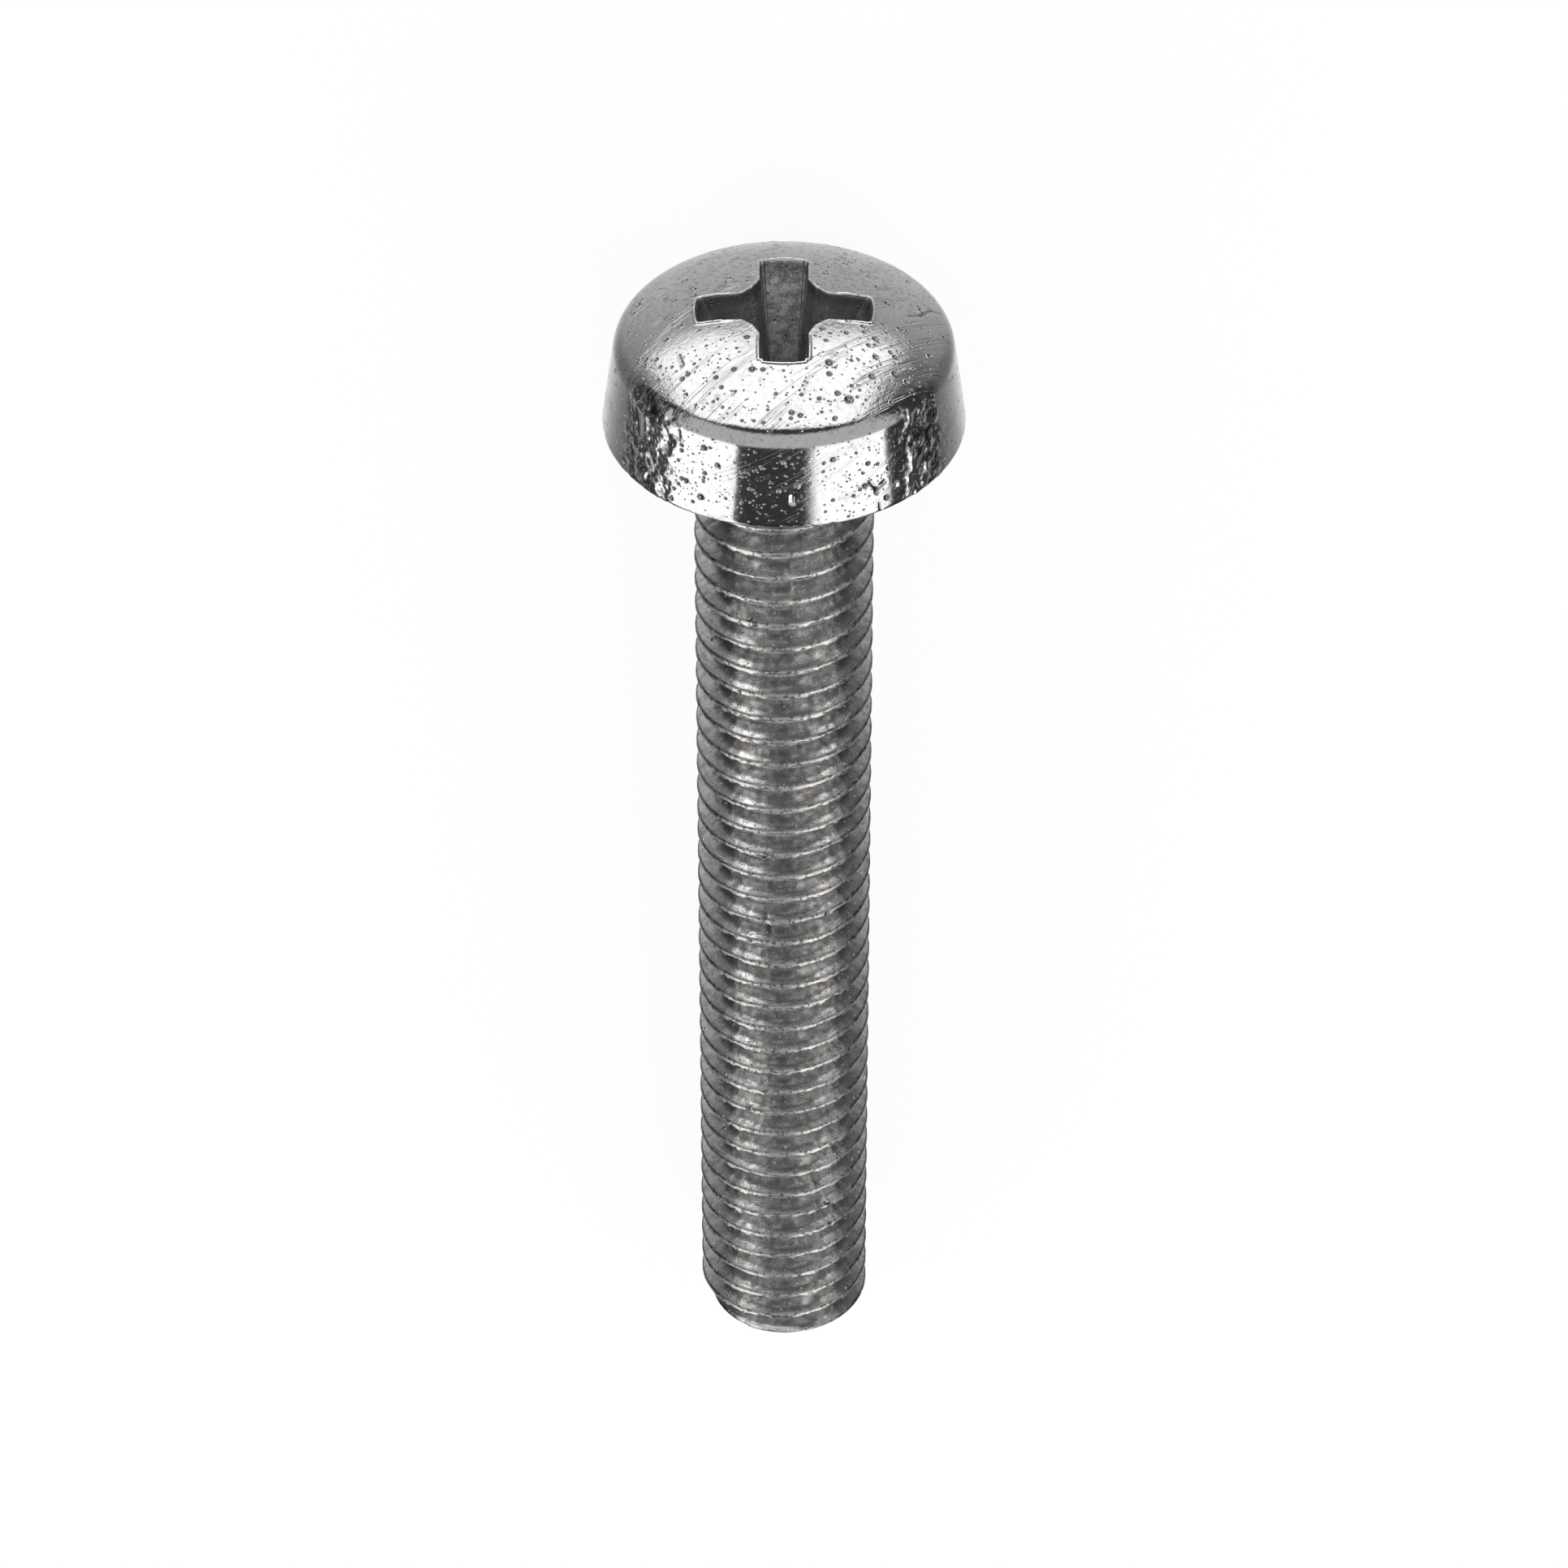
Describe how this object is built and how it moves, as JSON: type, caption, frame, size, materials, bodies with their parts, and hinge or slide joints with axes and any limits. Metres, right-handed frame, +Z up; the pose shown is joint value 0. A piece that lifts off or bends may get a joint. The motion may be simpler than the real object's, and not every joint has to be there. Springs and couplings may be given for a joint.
{
  "type": "machine screw",
  "caption": "Machine screw with a raised cheese head, a cross recess and a thread along the whole shank, to clamp parts through a clearance hole into a tapped hole or a nut.",
  "frame": {"origin": "centre of the bounding box at the floor that the screw lies on", "axes": "+X along the shank towards the head, +Z up; the screw's own axis rises towards the head by 4.35 degrees in the XZ plane"},
  "size_m": [0.022, 0.006, 0.006],
  "materials": {
    "bright_steel": "bright zinc-plated steel, scratched and pitted"
  },
  "bodies": {
    "root": {"machine_screw": "bright_steel"}
  },
  "joints": []
}
